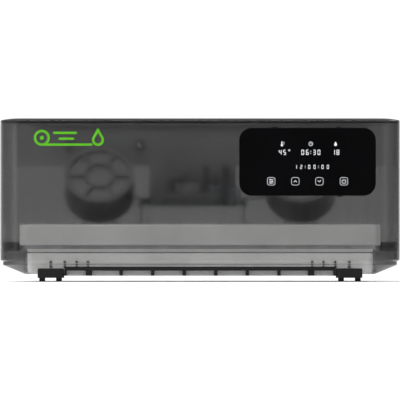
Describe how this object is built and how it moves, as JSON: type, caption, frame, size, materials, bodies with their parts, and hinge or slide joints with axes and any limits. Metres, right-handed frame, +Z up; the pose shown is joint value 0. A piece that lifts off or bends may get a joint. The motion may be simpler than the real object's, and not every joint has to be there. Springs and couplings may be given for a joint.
{
  "type": "filament dryer box",
  "caption": "Wide smoke-clear box with a hinged lid, roller wells for filament spools, warm-air fan pods, a touch display and rear filament outlets.",
  "frame": {"origin": "centre of the footprint at the underside of the foot pads", "axes": "+X along the longest side to the viewer's right, +Y from the display side to the hinge side, +Z up"},
  "size_m": [0.57, 0.336, 0.2332],
  "materials": {
    "smoke_shell": "clear smoke, glossy",
    "smoke_lid": "clear smoke, glossy",
    "smoke_base": "clear smoke, satin",
    "seal_rubber": "soft matt",
    "pan_white": "moulded white",
    "tray_grey": "moulded light grey",
    "dark_plastic": "fine moulded grain",
    "guard_grey": "fine moulded grain",
    "fan_black": "moulded black",
    "heater_metal": "folded fins",
    "heat_sink_metal": "black anodised",
    "module_metal": "bare case",
    "roller_plastic": "turned, satin",
    "shaft_steel": "ground",
    "board_green": "solder mask",
    "transformer_dark": "varnished",
    "capacitor_sleeve": "shrink sleeve",
    "terminal_dark": "moulded",
    "gauze_steel": "woven wire",
    "lead_sleeve": "flexible sleeve",
    "display_glass": "gloss black",
    "lcd_stack": "board and panel",
    "badge_green": "printed green",
    "filter_grey": "open foam",
    "pad_rubber": "matt",
    "fitting_black": "moulded black"
  },
  "bodies": {
    "cabinet": {"base_pan": "pan_white", "base_shell": "smoke_base", "board_bracket": "dark_plastic", "body_shell": "smoke_shell", "capacitors": "capacitor_sleeve", "control_board": "board_green", "display_housing": "dark_plastic", "display_lens": "display_glass", "fan_motor_left": "fan_black", "fan_motor_right": "fan_black", "feet": "dark_plastic", "foot_pads": "pad_rubber", "foot_screws": "shaft_steel", "front_badge": "badge_green", "harness_left": "lead_sleeve", "harness_right": "lead_sleeve", "heat_sinks": "heat_sink_metal", "heater_core_left": "heater_metal", "heater_core_right": "heater_metal", "hinge_brackets": "fitting_black", "hinge_pins": "shaft_steel", "humidity_sensor": "dark_plastic", "lcd_module": "lcd_stack", "lid_seal": "seal_rubber", "outlet_fittings": "fitting_black", "pan_screws": "shaft_steel", "pod_cradle_left": "tray_grey", "pod_cradle_right": "tray_grey", "pod_gauzes": "gauze_steel", "pod_guard_left": "guard_grey", "pod_guard_right": "guard_grey", "pod_housing_left": "dark_plastic", "pod_housing_right": "dark_plastic", "power_inlet": "fitting_black", "power_module": "module_metal", "rear_rail": "dark_plastic", "roller_shafts": "shaft_steel", "side_rail_left": "dark_plastic", "side_rail_right": "dark_plastic", "spool_tray": "tray_grey", "spool_well_left": "tray_grey", "spool_well_right": "tray_grey", "switch_housing": "fitting_black", "terminal_block": "terminal_dark", "transformer": "transformer_dark", "tray_gasket": "seal_rubber", "vent_filter": "filter_grey", "vent_grille": "dark_plastic"},
    "lid": {"lid_panel": "smoke_lid"},
    "impeller_left": {"impeller_left": "fan_black"},
    "impeller_right": {"impeller_right": "fan_black"},
    "power_rocker": {"power_rocker": "fitting_black"},
    "roller_a_front": {"roller_a_front": "roller_plastic"},
    "roller_a_rear": {"roller_a_rear": "roller_plastic"},
    "roller_b_front": {"roller_b_front": "roller_plastic"},
    "roller_b_rear": {"roller_b_rear": "roller_plastic"},
    "roller_c_front": {"roller_c_front": "roller_plastic"},
    "roller_c_rear": {"roller_c_rear": "roller_plastic"},
    "roller_d_front": {"roller_d_front": "roller_plastic"},
    "roller_d_rear": {"roller_d_rear": "roller_plastic"}
  },
  "joints": [
    {"name": "lid_hinge", "type": "hinge", "parent": "cabinet", "child": "lid", "pos_m": [0, 0.1635, 0.2255], "axis": [-1, 0, 0], "range_deg": [0, 100]},
    {"name": "fan_left_spin", "type": "hinge", "parent": "cabinet", "child": "impeller_left", "pos_m": [-0.145, 0.0834, 0.153], "axis": [0, -0.7861, 0.6181], "continuous": true},
    {"name": "fan_right_spin", "type": "hinge", "parent": "cabinet", "child": "impeller_right", "pos_m": [0.145, 0.0834, 0.153], "axis": [0, -0.7861, 0.6181], "continuous": true},
    {"name": "power_rocker_tilt", "type": "hinge", "parent": "cabinet", "child": "power_rocker", "pos_m": [-0.11, 0.156, 0.0665], "axis": [0, 0, 1], "range_deg": [0, 18]},
    {"name": "roller_a_front_spin", "type": "hinge", "parent": "cabinet", "child": "roller_a_front", "pos_m": [-0.18925, -0.112, 0.03235], "axis": [1, 0, 0], "continuous": true},
    {"name": "roller_a_rear_spin", "type": "hinge", "parent": "cabinet", "child": "roller_a_rear", "pos_m": [-0.18925, 0.012, 0.03235], "axis": [1, 0, 0], "continuous": true},
    {"name": "roller_b_front_spin", "type": "hinge", "parent": "cabinet", "child": "roller_b_front", "pos_m": [-0.0885, -0.112, 0.03235], "axis": [1, 0, 0], "continuous": true},
    {"name": "roller_b_rear_spin", "type": "hinge", "parent": "cabinet", "child": "roller_b_rear", "pos_m": [-0.0885, 0.012, 0.03235], "axis": [1, 0, 0], "continuous": true},
    {"name": "roller_c_front_spin", "type": "hinge", "parent": "cabinet", "child": "roller_c_front", "pos_m": [0.0885, -0.112, 0.03235], "axis": [1, 0, 0], "continuous": true},
    {"name": "roller_c_rear_spin", "type": "hinge", "parent": "cabinet", "child": "roller_c_rear", "pos_m": [0.0885, 0.012, 0.03235], "axis": [1, 0, 0], "continuous": true},
    {"name": "roller_d_front_spin", "type": "hinge", "parent": "cabinet", "child": "roller_d_front", "pos_m": [0.18925, -0.112, 0.03235], "axis": [1, 0, 0], "continuous": true},
    {"name": "roller_d_rear_spin", "type": "hinge", "parent": "cabinet", "child": "roller_d_rear", "pos_m": [0.18925, 0.012, 0.03235], "axis": [1, 0, 0], "continuous": true}
  ]
}
